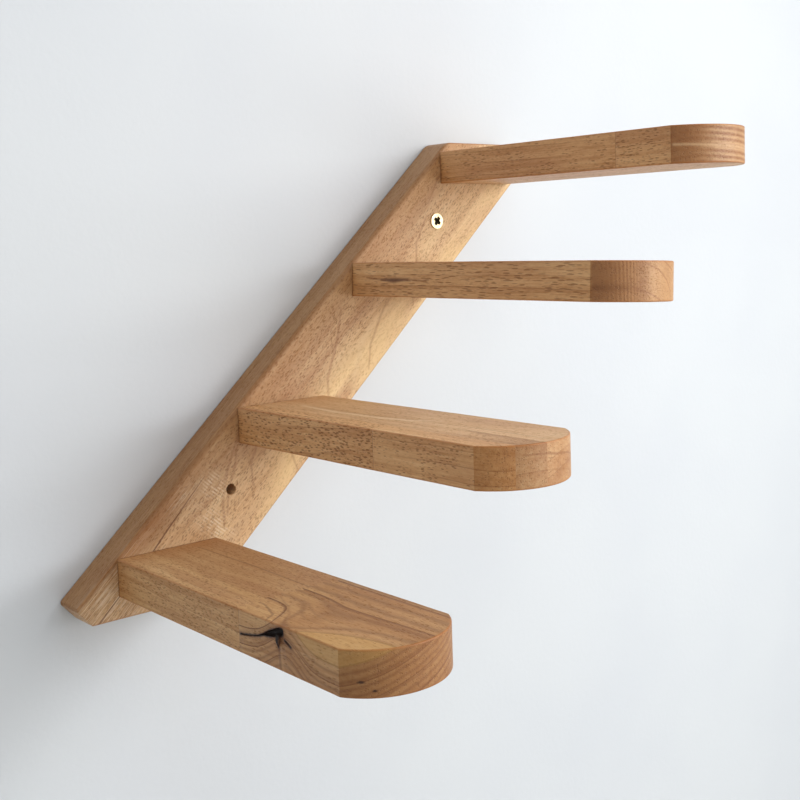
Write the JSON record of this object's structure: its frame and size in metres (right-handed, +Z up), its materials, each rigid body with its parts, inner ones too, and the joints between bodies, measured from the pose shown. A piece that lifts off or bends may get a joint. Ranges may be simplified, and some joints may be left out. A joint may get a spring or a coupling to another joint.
{
  "type": "wall rack",
  "caption": "Wall rack: a slanted wooden backboard screwed to the wall, with flat round-ended wooden tongues standing straight out of it to rest things on.",
  "frame": {"origin": "centre of the backboard's back face, which lies on the wall", "axes": "+X along the wall to the right as seen from the room, +Y into the wall, +Z up"},
  "size_m": [0.341, 0.262, 0.252],
  "materials": {
    "board_wood": "oiled, satin, grain along the board",
    "block_inner": "oiled, satin, grain along the tongue",
    "block_outer": "oiled, satin, grain along the tongue",
    "block_light": "oiled, satin, grain along the tongue",
    "yellow_zinc": "yellow zinc plate, satin",
    "plain_steel": "bright zinc plate, satin",
    "nylon": "moulded, matte"
  },
  "bodies": {
    "root": {"backboard": "board_wood", "tongue_1_inner": "block_inner", "tongue_1_outer": "block_outer", "tongue_2": "block_inner", "tongue_3_left_inner": "block_inner", "tongue_3_left_outer": "block_outer", "tongue_3_middle": "block_light", "tongue_3_right": "block_inner", "tongue_4_inner": "block_inner", "tongue_4_outer": "block_outer", "tongue_screws": "plain_steel", "wall_screw": "yellow_zinc", "wall_plug": "nylon"}
  },
  "joints": []
}
